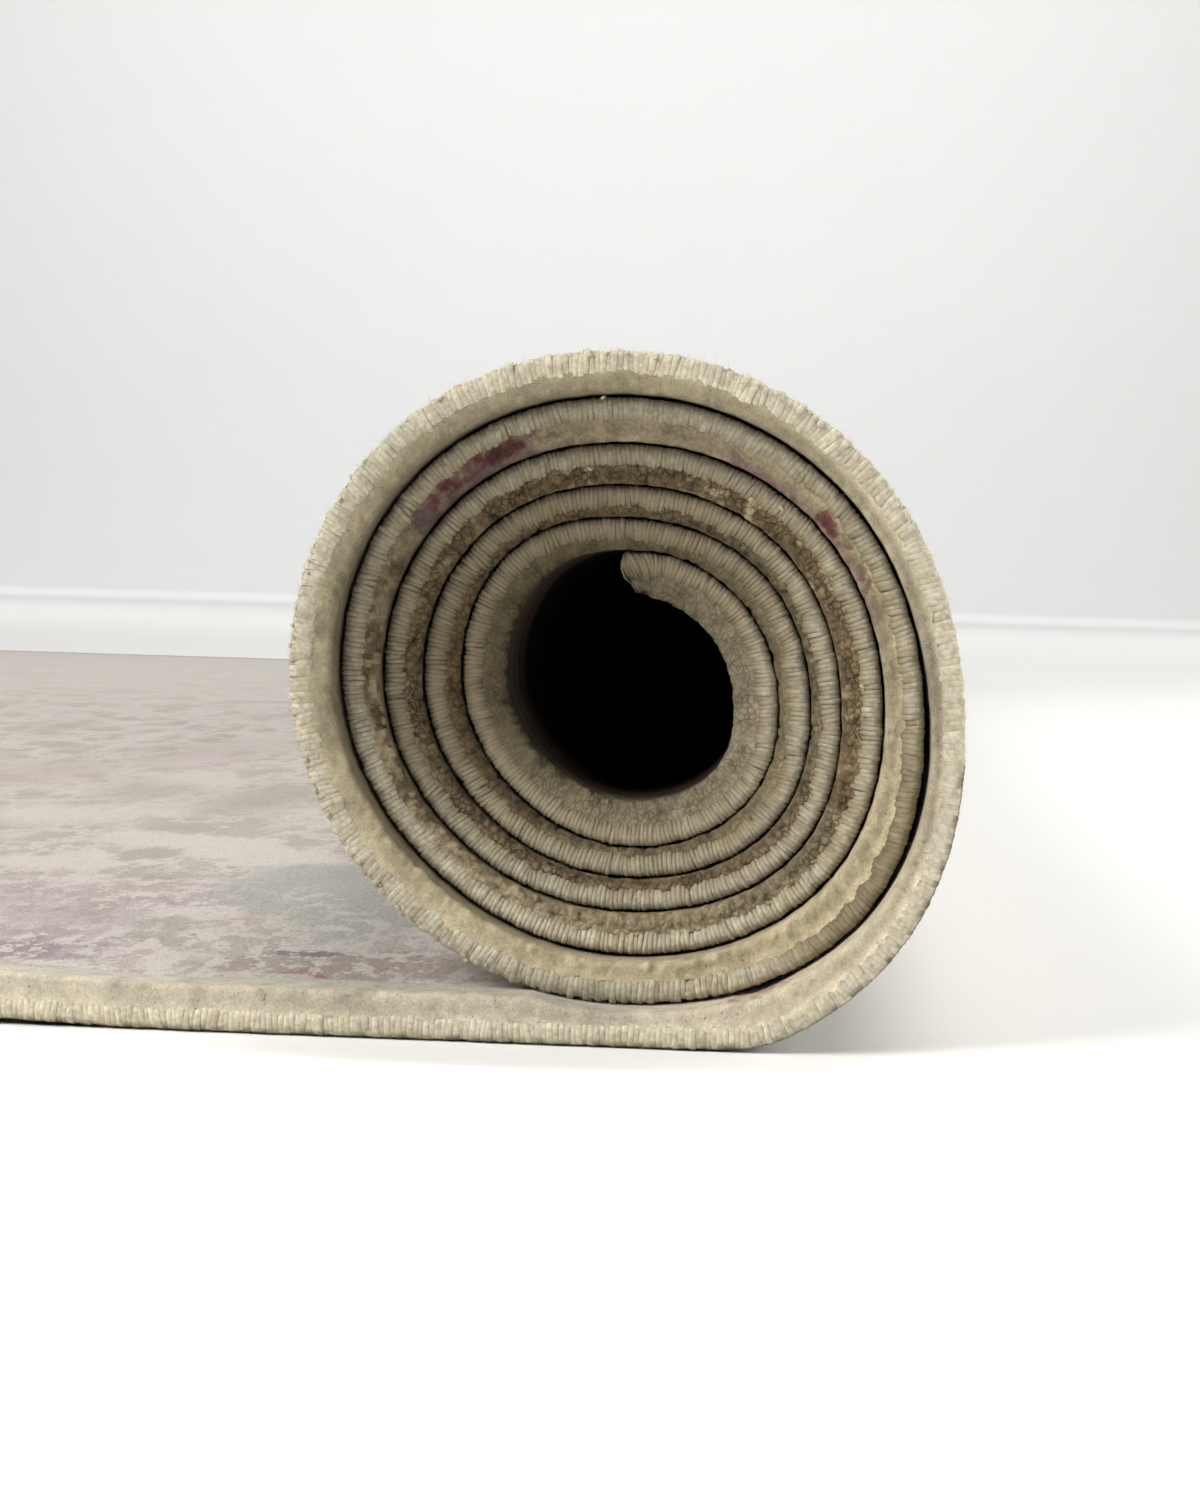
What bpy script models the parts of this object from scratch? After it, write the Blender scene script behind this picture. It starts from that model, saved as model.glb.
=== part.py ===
"""A pile rug rolled up with its pile inwards, the last stretch of it still lying flat on the floor.

The roll's axis runs along Y and the flat stretch reaches towards -X. The origin is on the floor, under the middle
of the roll and halfway along it. The rug's path starts at the end of the flat stretch, runs along the floor to the
origin, and then winds counter-clockwise, as seen from the front, up the right side and over the top.
"""
import math

import bmesh
import bpy
from mathutils import Vector

MM = 0.001

# The rug as it was made
RUG_WIDTH = 1700 * MM
RUG_LENGTH = 2400 * MM
THICKNESS = 9.6 * MM
FIT_GAP = 0.3 * MM

# The overcast yarn along the two sides, which wraps the backing and leaves the pile standing above it
BINDING_HEIGHT = 3.8 * MM
BINDING_DEPTH = 3.0 * MM
BINDING_BEVEL = 1.1 * MM

# The pile at the sides: it leans out over the binding and its upper edge is rounded
PILE_LEAN = 0.7 * MM
PILE_ROUND_IN = 1.6 * MM
PILE_ROUND_DOWN = 0.7 * MM
PILE_SHOULDER = 4.5 * MM

# The overcast yarn across the two ends
END_DEPTH = 3.4 * MM
INNER_END_HEIGHT = 8.4 * MM
OUTER_END_HEIGHT = 4.2 * MM
END_ARC_STEPS = 6

# The roll: the distance of the rug's back from the roll's centre, a row for each turn, outermost first
CENTRE_HEIGHT = 72.1 * MM
TURN_COLUMNS = ("bottom", "lower_right", "right", "upper_right", "top", "upper_left", "left", "lower_left")
TURNS_MM = (
    (77.3, 75.2, 66.4, 65.5, 67.8, 71.5, 70.6, 66.6),
    (64.4, 66.2, 58.7, 57.7, 59.4, 62.9, 61.6, 57.0),
    (55.8, 56.1, 50.6, 49.5, 50.1, 53.7, 53.4, 49.4),
    (47.1, 47.8, 41.9, 41.1, 41.6, 45.5, 45.4, 41.9),
    (40.4, 40.5, 35.6, 34.6, 34.8, 39.0, 37.5, 34.6),
    (34.1, 33.3, 28.9, 27.4, 28.0, 28.6, 29.0, 29.5),
)
# The rug is wound a little askew: how far each turn, at its bottom, has moved towards the rear
SET_BACK_MM = (0, 11, 20, 24, 27, 29, 31)
WOUND_TURNS = 5.51
STEPS_PER_TURN = 30
# Over this first part of a turn the floor stops the roll, which leaves it in an easy curve
FLOOR_TURNS = 0.25
FLOOR_EASE = 1.2 * MM

# The flat stretch is built in steps that grow shorter towards the roll
TAIL_STEPS = 8
TAIL_STEP_POWER = 2

# The space between two turns: snug all round, but for a slack stretch at the right of the outermost turn
TURN_GAP = 0.5 * MM
SLACK_GAP = 1.3 * MM
SLACK_MIDDLE = 0.21
SLACK_HALF_WIDTH = 0.10

# Past the inner end nothing presses on the pile, which stands up again over part of a turn
INNER_THICKNESS = 9.3 * MM
SPRING_BACK_TURNS = 0.17
END_TAPER_TURNS = 0.04


def clear_objects():
    for thing in list(bpy.data.objects):
        bpy.data.objects.remove(thing, do_unlink=True)


def smooth_value(values, place):
    """A value read from a list along a smooth curve through it, at a place counted in list entries."""
    last = len(values) - 1
    index = min(int(place), last - 1)
    part = place - index
    before = values[max(index - 1, 0)]
    start = values[index]
    end = values[index + 1]
    after = values[min(index + 2, last)]
    slope_in = 0.5 * (end - before)
    slope_out = 0.5 * (after - start)
    square = part * part
    cube = square * part
    return (
        (2 * cube - 3 * square + 1) * start
        + (cube - 2 * square + part) * slope_in
        + (3 * square - 2 * cube) * end
        + (cube - square) * slope_out
    )


def back_radius(turns):
    """Distance of the rug's back from the roll's centre; the turns count from straight down."""
    values = [value for row in TURNS_MM for value in row]
    return smooth_value(values, turns * len(TURN_COLUMNS)) * MM


def set_back(turns):
    """How far a place on the roll has moved towards the rear."""
    return Vector((0, smooth_value(SET_BACK_MM, turns) * MM, 0))


def outward(turns):
    """Direction from the roll's centre to a place on the roll."""
    angle = 2 * math.pi * turns
    return Vector((math.sin(angle), 0, -math.cos(angle)))


def floor_radius(turns):
    """The back's distance from the centre, where the floor stops it."""
    radius = back_radius(turns)
    downward = math.cos(2 * math.pi * turns)
    if turns >= FLOOR_TURNS or downward <= 0:
        return radius
    floor = CENTRE_HEIGHT / downward
    return min(radius, floor) - FLOOR_EASE * math.log(1 + math.exp(-abs(radius - floor) / FLOOR_EASE))


def smooth_step(value):
    value = min(max(value, 0.0), 1.0)
    return value * value * (3 - 2 * value)


def gap_inside(turns):
    """The space between the pile and the back of the next turn."""
    nearness = smooth_step(1 - abs(turns - SLACK_MIDDLE) / SLACK_HALF_WIDTH)
    return TURN_GAP + (SLACK_GAP - TURN_GAP) * nearness


def pressed_thickness(turns, radius):
    """The rug's thickness where the next turn presses on its pile."""
    return radius - back_radius(turns + 1) - gap_inside(turns)


def thickness(turns):
    """The rug's thickness: its own, or what the next turn leaves it."""
    radius = floor_radius(turns)
    free_from = WOUND_TURNS - 1
    if turns <= free_from:
        return min(THICKNESS, pressed_thickness(turns, radius))
    start = pressed_thickness(free_from, back_radius(free_from))
    rise = smooth_step((turns - free_from) / SPRING_BACK_TURNS)
    end_taper = smooth_step((WOUND_TURNS - turns) / END_TAPER_TURNS)
    standing = start + (INNER_THICKNESS - start) * rise
    return INNER_END_HEIGHT + (standing - INNER_END_HEIGHT) * end_taper


def wound_length():
    """Length of the rug's back from the origin to its inner end."""
    steps = round(WOUND_TURNS * STEPS_PER_TURN)
    points = [outward(WOUND_TURNS * i / steps) * floor_radius(WOUND_TURNS * i / steps) for i in range(steps + 1)]
    return sum((b - a).length for a, b in zip(points, points[1:]))


def rug_stations():
    """Places along the rug, outer end first: the point on its back, the direction of its pile, its thickness."""
    tail = RUG_LENGTH - wound_length() - 2 * END_DEPTH
    stations = []
    for i in range(TAIL_STEPS):
        x = -tail * (1 - i / TAIL_STEPS) ** TAIL_STEP_POWER
        height = THICKNESS if i < TAIL_STEPS - 1 else thickness(0)
        stations.append((Vector((x, 0, 0)), Vector((0, 0, 1)), height))
    steps = round(WOUND_TURNS * STEPS_PER_TURN)
    centre = Vector((0, 0, CENTRE_HEIGHT))
    for i in range(steps + 1):
        turns = WOUND_TURNS * i / steps
        away = outward(turns)
        stations.append((centre + away * floor_radius(turns) + set_back(turns), -away, thickness(turns)))
    return stations


def loft(name, rings):
    """A closed skin through rings of equally many points, with a flat face at each end."""
    shape = bmesh.new()
    rows = [[shape.verts.new(point) for point in ring] for ring in rings]
    count = len(rows[0])
    for first, second in zip(rows, rows[1:]):
        for i in range(count):
            j = (i + 1) % count
            shape.faces.new((first[i], first[j], second[j], second[i]))
    shape.faces.new(rows[0][::-1])
    shape.faces.new(rows[-1])
    bmesh.ops.recalc_face_normals(shape, faces=shape.faces)
    mesh = bpy.data.meshes.new(name)
    shape.to_mesh(mesh)
    shape.free()
    return bpy.data.objects.new(name, mesh)


def rug_section(height):
    """Half of the rug's section, at one side: distance in from the side, and height above the back."""
    step = BINDING_HEIGHT + FIT_GAP
    return (
        (BINDING_DEPTH + FIT_GAP, 0),
        (BINDING_DEPTH + FIT_GAP, step),
        (PILE_LEAN, step),
        (PILE_ROUND_IN, height - PILE_ROUND_DOWN),
        (PILE_SHOULDER, height),
    )


def build_rug(stations):
    half = RUG_WIDTH / 2
    rings = []
    for back, pile, height in stations:
        section = rug_section(height)
        front_side = [back + pile * up + Vector((0, inset - half, 0)) for inset, up in section]
        rear_side = [back + pile * up + Vector((0, half - inset, 0)) for inset, up in reversed(section)]
        rings.append(front_side + rear_side)
    return loft("carpet", rings)


def binding_section():
    """The side binding's section: distance in from the side, and height above the back."""
    return (
        (BINDING_DEPTH, 0),
        (BINDING_BEVEL, 0),
        (0, BINDING_BEVEL),
        (0, BINDING_HEIGHT - BINDING_BEVEL),
        (BINDING_BEVEL, BINDING_HEIGHT),
        (BINDING_DEPTH, BINDING_HEIGHT),
    )


def past_the_end(station, before, distance):
    """A station moved on from an end of the rug, away from its neighbour, by a distance along the rug."""
    back, pile, height = station
    onward = back - before[0]
    onward = Vector((onward.x, 0, onward.z))
    onward = (onward - pile * onward.dot(pile)).normalized()
    return back + onward * distance, pile, height


def build_side_binding(name, stations, side):
    """The overcast yarn along one side; side is -1 at the front and 1 at the rear."""
    outer = past_the_end(stations[0], stations[1], END_DEPTH)
    inner = past_the_end(stations[-1], stations[-2], END_DEPTH)
    route = [outer] + stations + [inner]
    edge = side * (RUG_WIDTH / 2)
    rings = []
    for back, pile, _ in route:
        ring = [back + pile * up + Vector((0, edge - side * inset, 0)) for inset, up in binding_section()]
        rings.append(ring)
    return loft(name, rings)


def build_end_binding(name, end, before, height):
    """The overcast yarn across one end: a rounded strip between the two side bindings."""
    start = past_the_end(end, before, FIT_GAP)[0]
    tip = past_the_end(end, before, END_DEPTH)[0]
    onward = (tip - start).normalized()
    pile = end[1]
    depth = (tip - start).length
    outline = []
    for i in range(END_ARC_STEPS + 1):
        angle = math.pi * i / END_ARC_STEPS
        reach = depth * math.sin(angle)
        up = height * (1 - math.cos(angle)) / 2
        outline.append(start + onward * reach + pile * up)
    half = RUG_WIDTH / 2 - BINDING_DEPTH - FIT_GAP
    rings = [[point + Vector((0, y, 0)) for point in outline] for y in (-half, half)]
    return loft(name, rings)


def wool(name, colour, roughness):
    material = bpy.data.materials.new(name)
    material.use_nodes = True
    shader = material.node_tree.nodes["Principled BSDF"]
    shader.inputs["Base Color"].default_value = (*colour, 1)
    shader.inputs["Roughness"].default_value = roughness
    shader.inputs["Metallic"].default_value = 0
    return material


def main():
    clear_objects()
    collection = bpy.data.collections.new("rolled_carpet")
    bpy.context.scene.collection.children.link(collection)
    stations = rug_stations()
    pile = wool("pile", (0.47, 0.43, 0.36), 0.95)
    yarn = wool("overcast_yarn", (0.62, 0.57, 0.46), 0.9)
    parts = (
        (build_rug(stations), pile),
        (build_side_binding("side_binding_front", stations, -1), yarn),
        (build_side_binding("side_binding_rear", stations, 1), yarn),
        (build_end_binding("end_binding_outer", stations[0], stations[1], OUTER_END_HEIGHT), yarn),
        (build_end_binding("end_binding_inner", stations[-1], stations[-2], INNER_END_HEIGHT), yarn),
    )
    for thing, material in parts:
        thing.data.materials.append(material.copy())
        collection.objects.link(thing)


main()
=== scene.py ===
"""A faded pile rug, rolled up with its pile inwards and seen end on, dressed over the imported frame.

Rug coordinates are used throughout: s is the distance along the rug from its outer end, v the distance across
it from its middle line (the front edge is at -HALF_WIDTH), and h the height above its back, towards the pile.
"""

import math

import bpy
import numpy as np
from mathutils import Matrix


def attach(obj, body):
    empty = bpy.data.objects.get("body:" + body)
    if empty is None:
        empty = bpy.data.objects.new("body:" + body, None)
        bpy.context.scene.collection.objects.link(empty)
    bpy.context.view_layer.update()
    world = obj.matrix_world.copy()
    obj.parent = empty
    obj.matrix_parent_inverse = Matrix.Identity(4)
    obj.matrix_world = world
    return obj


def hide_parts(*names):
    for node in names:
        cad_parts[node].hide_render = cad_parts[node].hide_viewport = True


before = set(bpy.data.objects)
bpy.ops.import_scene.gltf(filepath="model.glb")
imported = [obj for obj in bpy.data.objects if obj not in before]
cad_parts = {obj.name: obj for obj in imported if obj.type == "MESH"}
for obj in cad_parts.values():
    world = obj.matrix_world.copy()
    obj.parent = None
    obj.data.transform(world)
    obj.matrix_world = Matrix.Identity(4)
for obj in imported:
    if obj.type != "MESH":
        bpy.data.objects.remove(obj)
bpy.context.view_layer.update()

MM = 0.001

# The rug and its roll, as in the frame
RUG_WIDTH = 1700 * MM
HALF_WIDTH = RUG_WIDTH / 2
RUG_LENGTH = 2400 * MM
THICKNESS = 9.6 * MM
END_DEPTH = 3.4 * MM
INNER_END_HEIGHT = 8.4 * MM
CENTRE_HEIGHT = 72.1 * MM
# How far the rug's back lies from the roll's middle, turn by turn: at the bottom, lower right, right, upper
# right, top, upper left, left and lower left
TURNS_MM = (
    (77.3, 75.2, 66.4, 65.5, 67.8, 71.5, 70.6, 66.6),
    (64.4, 66.2, 58.7, 57.7, 59.4, 62.9, 61.6, 57.0),
    (55.8, 56.1, 50.6, 49.5, 50.1, 53.7, 53.4, 49.4),
    (47.1, 47.8, 41.9, 41.1, 41.6, 45.5, 45.4, 41.9),
    (40.4, 40.5, 35.6, 34.6, 34.8, 39.0, 37.5, 34.6),
    (34.1, 33.3, 28.9, 27.4, 28.0, 28.6, 29.0, 29.5),
)
SET_BACK_MM = (0, 11, 20, 24, 27, 29, 31)
WOUND_TURNS = 5.51
FLOOR_TURNS = 0.25
FLOOR_EASE = 1.2 * MM
TURN_GAP = 0.5 * MM
SLACK_GAP = 1.3 * MM
SLACK_MIDDLE = 0.21
SLACK_HALF_WIDTH = 0.10
INNER_THICKNESS = 9.3 * MM
SPRING_BACK_TURNS = 0.17
END_TAPER_TURNS = 0.04

# The camera that the photo was solved for
IMAGE_HEIGHT_PX = 1500
FOCAL_PX = 2800
SENSOR_MM = 36
CAMERA_PLACE = (0.02969, -1.40755, 0.09845)
CAMERA_YAW = 0.06408
CAMERA_PITCH = 0.06824
CAMERA_ROLL = 0.02807

SEED = 11


# Numbers

def join(*parts, axis=0):
    return np.concatenate(parts, axis)


def smooth_value(values, place):
    """Values read from a list along a smooth curve through it, at places counted in list entries."""
    index = np.clip(place.astype(int), 0, len(values) - 2)
    part = place - index
    before, start, end, after = (np.take(values, index + step, mode="clip") for step in (-1, 0, 1, 2))
    square = part * part
    cube = square * part
    return (
        (2 * cube - 3 * square + 1) * start
        + (cube - 2 * square + part) * 0.5 * (end - before)
        + (3 * square - 2 * cube) * end
        + (cube - square) * 0.5 * (after - start)
    )


def ease(value, low=0.0, high=1.0):
    """0 below low, 1 above high, smooth between."""
    value = np.clip((value - low) / (high - low), 0, 1)
    return value * value * (3 - 2 * value)


def window(value, low, high, blend):
    """1 between low and high and 0 outside, smooth over a blend on either side of each."""
    return ease(value, low - blend, low + blend) * (1 - ease(value, high - blend, high + blend))


class Wave:
    """A smooth random line: a sum of sines with wavelengths between two lengths, from about -1 to 1."""

    def __init__(self, rng, shortest, longest, count=9):
        self.numbers = 2 * math.pi / np.exp(rng.uniform(math.log(shortest), math.log(longest), count))
        self.phases = rng.uniform(0, 2 * math.pi, count)

    def __call__(self, along):
        total = np.zeros(np.shape(along))
        for number, phase in zip(self.numbers, self.phases):
            total = total + np.sin(np.asarray(along) * number + phase)
        return total / math.sqrt(2 * len(self.numbers))


def strip_noise(rng, along, across, size):
    """Smooth random values from 0 to 1 over a strip, with features of one size."""
    columns, rows = along / size, across / size
    grid = rng.random((int(columns.max()) + 3, int(rows.max()) + 3))
    i, j = columns.astype(int), rows.astype(int)
    a, b = ease(columns - i), ease(rows - j)
    near = grid[i, j] * (1 - a) + grid[i + 1, j] * a
    far = grid[i, j + 1] * (1 - a) + grid[i + 1, j + 1] * a
    return near * (1 - b) + far * b


def tuft_noise(rng, along, across, size):
    """How far each place lies from the nearest tuft's middle, in tuft sizes, and that tuft's own number."""
    columns, rows = along / size + 1, across / size + 1
    shape = (int(columns.max()) + 4, int(rows.max()) + 4)
    shift_along, shift_across, own = rng.random((3, *shape))
    nearest = np.full(columns.shape, 9.0)
    number = np.zeros(columns.shape)
    for step_i, step_j in np.ndindex(3, 3):
        cell = (columns.astype(int) + step_i - 1, rows.astype(int) + step_j - 1)
        away_along = columns - (cell[0] + 0.15 + 0.7 * shift_along[cell])
        away_across = rows - (cell[1] + 0.15 + 0.7 * shift_across[cell])
        distance = np.hypot(away_along, away_across)
        closer = distance < nearest
        nearest = np.where(closer, distance, nearest)
        number = np.where(closer, own[cell], number)
    return nearest, number


# The rug's path

def back_radius(turns):
    return smooth_value(np.ravel(TURNS_MM), turns * len(TURNS_MM[0])) * MM


def floor_radius(turns):
    downward = np.cos(2 * math.pi * turns)
    radius = back_radius(turns)
    floor = CENTRE_HEIGHT / np.where(downward > 0.01, downward, 0.01)
    eased = np.minimum(radius, floor) - FLOOR_EASE * np.log(1 + np.exp(-np.abs(radius - floor) / FLOOR_EASE))
    return np.where((turns < FLOOR_TURNS) & (downward > 0.01), eased, radius)


def gap_inside(turns):
    nearness = ease(1 - np.abs(turns - SLACK_MIDDLE) / SLACK_HALF_WIDTH)
    return TURN_GAP + (SLACK_GAP - TURN_GAP) * nearness


def pressed_thickness(turns):
    return floor_radius(turns) - back_radius(turns + 1) - gap_inside(turns)


def thickness(turns):
    """The rug's thickness in the roll: what the next turn leaves it, or its own past the inner end."""
    free_from = WOUND_TURNS - 1
    pressed = np.minimum(THICKNESS, pressed_thickness(np.minimum(turns, free_from)))
    start = pressed_thickness(np.array(free_from))
    standing = start + (INNER_THICKNESS - start) * ease((turns - free_from) / SPRING_BACK_TURNS)
    end_taper = ease((WOUND_TURNS - turns) / END_TAPER_TURNS)
    free = INNER_END_HEIGHT + (standing - INNER_END_HEIGHT) * end_taper
    return np.where(turns <= free_from, pressed, free)


def roll_place(turns):
    angle = 2 * math.pi * turns
    radius = floor_radius(turns)
    return np.sin(angle) * radius, CENTRE_HEIGHT - np.cos(angle) * radius


class Path:
    """The line of the rug's back, from its outer end along the floor and round the roll to its inner end."""

    OVERRUN = 15 * MM
    STEP = 0.4 * MM

    def __init__(self):
        turns = np.linspace(0, WOUND_TURNS, 7000)
        x, z = roll_place(turns)
        wound = join([0], np.cumsum(np.hypot(np.diff(x), np.diff(z))))
        self.tail = RUG_LENGTH - wound[-1] - END_DEPTH
        tail_x = np.arange(-self.tail - self.OVERRUN, -self.STEP / 2, self.STEP)
        room = np.interp(tail_x, *roll_place(np.linspace(0.8, 1.0, 200)), left=1.0) - TURN_GAP
        thick = thickness(turns)
        # A straight stretch past the inner end carries the end's yarn
        ahead = np.arange(1, int(self.OVERRUN / self.STEP)) * self.STEP
        way_x, way_z = np.array((x[-1] - x[-2], z[-1] - z[-2])) / np.hypot(x[-1] - x[-2], z[-1] - z[-2])
        self.s = join(tail_x, wound, wound[-1] + ahead) + self.tail
        self.x = join(tail_x, x, x[-1] + ahead * way_x)
        self.z = join(0 * tail_x, z, z[-1] + ahead * way_z)
        self.turns = join(tail_x / self.tail * 0.01, turns, WOUND_TURNS + 0 * ahead)
        self.thick = join(np.minimum(THICKNESS, room), thick, thick[-1] + 0 * ahead)
        self.set_back = smooth_value(SET_BACK_MM, np.maximum(self.turns, 0)) * MM
        along_x, along_z = np.gradient(self.x, self.s), np.gradient(self.z, self.s)
        size = np.hypot(along_x, along_z)
        self.pile_x, self.pile_z = -along_z / size, along_x / size

    def read(self, name, s):
        return np.interp(s, self.s, getattr(self, name))

    def at_turns(self, turns):
        """The distance along the rug at a place in the roll."""
        wound = self.s >= self.tail - self.STEP / 4
        return np.interp(turns, self.turns[wound], self.s[wound])


PATH = Path()


def turns_at(s):
    return PATH.read("turns", s)


RNG = np.random.default_rng(SEED)
EDGE_WAVE = Wave(RNG, 14 * MM, 90 * MM)
FINE_WAVE = Wave(RNG, 4 * MM, 16 * MM)
ROLL_WAVE_Y = Wave(RNG, 180 * MM, 700 * MM)
ROLL_WAVE_ANGLE = Wave(RNG, 1.2, 3.0, 5)
# How high they are, and how far in from the edge the edge's own reach
EDGE_WAVE_MM = 0.35
FINE_WAVE_MM = 0.10
ROLL_WAVE_MM = 0.7
EDGE_REACH_MM = 25

# The rug's front edge is lifted off the floor a little beside the picture's left side
LIFT_HEIGHT = 2.3 * MM
LIFT_MIDDLE = -0.175
LIFT_HALF_LENGTH = 0.085
LIFT_DEPTH = 0.11


def lift(x, v):
    reach = ease(1 - np.abs(x - LIFT_MIDDLE) / LIFT_HALF_LENGTH)
    depth = ease(1 - (v + HALF_WIDTH) / LIFT_DEPTH)
    return LIFT_HEIGHT * reach * depth


def to_world(s, v, h):
    """World points of rug coordinates, as an array with a last axis of three."""
    s, v, h = np.broadcast_arrays(s, v, h)
    names = ("turns", "x", "z", "pile_x", "pile_z", "set_back")
    turns, x, z, pile_x, pile_z, set_back = (PATH.read(name, s) for name in names)
    from_edge = HALF_WIDTH - np.abs(v)
    edge = np.exp(-np.maximum(from_edge, 0) / (EDGE_REACH_MM * MM))
    y = v + set_back + EDGE_WAVE(s + 3.1 * np.sign(v)) * EDGE_WAVE_MM * MM * edge
    swell = ROLL_WAVE_Y(y) * (0.6 + 0.4 * ROLL_WAVE_ANGLE(2 * math.pi * (turns % 1))) * ROLL_WAVE_MM * MM
    ripple = FINE_WAVE(s + 1.7 * np.sign(v)) * FINE_WAVE_MM * MM * edge
    out = h - (swell * ease(from_edge, 0.03, 0.25) + ripple) * ease(turns, 0.08, 0.3)
    return np.stack([x + pile_x * out, y, z + pile_z * out + lift(x, v)], -1)


# Meshes from arrays

LAYER_KINDS = {1: ("FLOAT", "value"), 3: ("FLOAT_VECTOR", "vector"), 4: ("FLOAT_COLOR", "color")}


def build_mesh(name, points, face_sets, materials, face_materials=0, **layers):
    """A mesh object from arrays of points and faces, with named values on its points."""
    mesh = bpy.data.meshes.new(name)
    count = np.size(points) // 3
    corners = join(*(faces.ravel() for faces in face_sets))
    sizes = join(*(np.full(len(faces), faces.shape[1]) for faces in face_sets))
    mesh.vertices.add(count)
    mesh.loops.add(len(corners))
    mesh.polygons.add(len(sizes))
    for group, key, values, kind in (
        (mesh.vertices, "co", points, np.float32),
        (mesh.loops, "vertex_index", corners, np.int32),
        (mesh.polygons, "loop_start", np.cumsum(sizes) - sizes, np.int32),
        (mesh.polygons, "loop_total", sizes, np.int32),
        (mesh.polygons, "use_smooth", np.ones(len(sizes)), bool),
        (mesh.polygons, "material_index", np.zeros(len(sizes)) + face_materials, np.int32),
    ):
        group.foreach_set(key, np.asarray(values).astype(kind).ravel())
    for key, values in layers.items():
        values = np.asarray(values, np.float32).ravel()
        kind, field = LAYER_KINDS[len(values) // count]
        mesh.attributes.new(key, kind, "POINT").data.foreach_set(field, values)
    mesh.update(calc_edges=True)
    for material in materials:
        mesh.materials.append(material)
    thing = bpy.data.objects.new(name, mesh)
    bpy.context.scene.collection.objects.link(thing)
    return thing


def grid_faces(rows, columns, closed=False):
    """Faces over rows of points; in a closed grid the last column meets the first."""
    low = np.arange(rows - 1)[:, None] * columns
    column = np.arange(columns if closed else columns - 1)
    after = (column + 1) % columns
    high = low + columns
    return np.stack([low + column, high + column, high + after, low + after], -1).reshape(-1, 4)


def strand_faces(count, rings, sides, pointed):
    """Faces of many closed strands of points in rings. A pointed one has one more point, at its tip."""
    size = rings * sides + int(pointed)
    base = np.arange(count)[:, None] * size
    side = np.arange(sides)
    after = (side + 1) % sides
    low = (base + np.arange(rings - 1) * sides)[:, :, None]
    quads = np.stack([low + side, low + after, low + sides + after, low + sides + side], -1)
    last = base + (rings - 1) * sides
    end = last + side
    if pointed:
        end = np.stack([end, last + after, base + size - 1 + 0 * side], -1).reshape(-1, 3)
    return [quads.reshape(-1, 4), base + side[::-1], end]


# Where the pile is stained

def on_turn(turn, angle):
    """The turns wound at a place in the photo: its turn, and its angle from the right, upwards."""
    return turn - 1 + ((angle + 90) % 360) / 360


STAIN_COLOURS = {
    "brown": (0.135, 0.095, 0.053),
    "pale_brown": (0.140, 0.104, 0.064),
    "maroon": (0.125, 0.045, 0.044),
    "grey_pink": (0.175, 0.120, 0.112),
    "pink": (0.27, 0.185, 0.165),
    "rose": (0.36, 0.19, 0.17),
}
# Turn, first and last angle, colour, how many of the tufts take it, and the lowest and highest part of the
# pile's edge
STAINS = (
    (2, 150, 215, "pale_brown", 0.45, 0.0, 0.9),
    (3, 330, 60, "brown", 0.75, 0.0, 1.0),
    (3, 60, 180, "brown", 0.72, 0.0, 1.0),
    (3, 180, 330, "pale_brown", 0.85, 0.0, 1.0),
    (3, 240, 330, "brown", 0.35, 0.0, 1.0),
    (4, 60, 240, "brown", 0.55, 0.0, 0.9),
    (4, 270, 60, "pale_brown", 0.35, 0.0, 0.8),
    (5, 90, 225, "pale_brown", 0.35, 0.0, 0.8),
    (2, 112, 146, "grey_pink", 0.80, 0.1, 1.4),
    (2, 114, 142, "maroon", 0.56, 0.0, 0.70),
    (2, 96, 114, "pink", 0.6, 0.7, 1.2),
    (2, 15, 70, "pink", 0.7, 0.55, 1.2),
    (2, 24, 47, "maroon", 0.55, 0.15, 0.75),
    (1, 283, 300, "rose", 0.7, 1.0, 2.0),
)
# How softly a stain ends, in turns along the rug and in parts of the pile's edge across it
STAIN_END_TURNS = 0.012
STAIN_RIM = 0.12

# How light the pile's edge is, its own tone with painted light and shade round the roll: turns wound, and the
# tone of its red
PILE_TONES = (
    (0.00, 0.56), (0.04, 0.62), (0.12, 0.52), (0.25, 0.28), (0.34, 0.35), (0.69, 0.25), (0.77, 0.32),
    (0.90, 0.47), (1.00, 0.50), (1.18, 0.43), (1.30, 0.25), (1.50, 0.38), (1.70, 0.25), (1.80, 0.42),
    (1.92, 0.33),
    (2.06, 0.23), (2.13, 0.15), (2.25, 0.31), (2.50, 0.35), (2.66, 0.17), (2.78, 0.19), (2.90, 0.31),
    (3.00, 0.30), (3.08, 0.14), (3.30, 0.105), (3.88, 0.09), (3.96, 0.165),
    (4.06, 0.13), (4.14, 0.17), (4.31, 0.15), (4.78, 0.105), (4.94, 0.235), (5.20, 0.295), (5.51, 0.16),
)
# Its hue: turns wound, and green and blue against red
PILE_HUES = (
    (0.0, 0.89, 0.69),
    (0.12, 0.875, 0.645),
    (0.5, 0.855, 0.565),
    (1.2, 0.85, 0.57),
    (1.7, 0.82, 0.52),
    (4.6, 0.825, 0.495),
    (5.2, 0.848, 0.58),
    (5.51, 0.83, 0.54),
)
# How far in the edge's colour goes before the rug's own takes over: on the flat stretch, and in the roll
EDGE_FLAT_MM = (2.2, 6.0)
EDGE_ROLL_MM = (10.0, 18.0)


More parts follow.
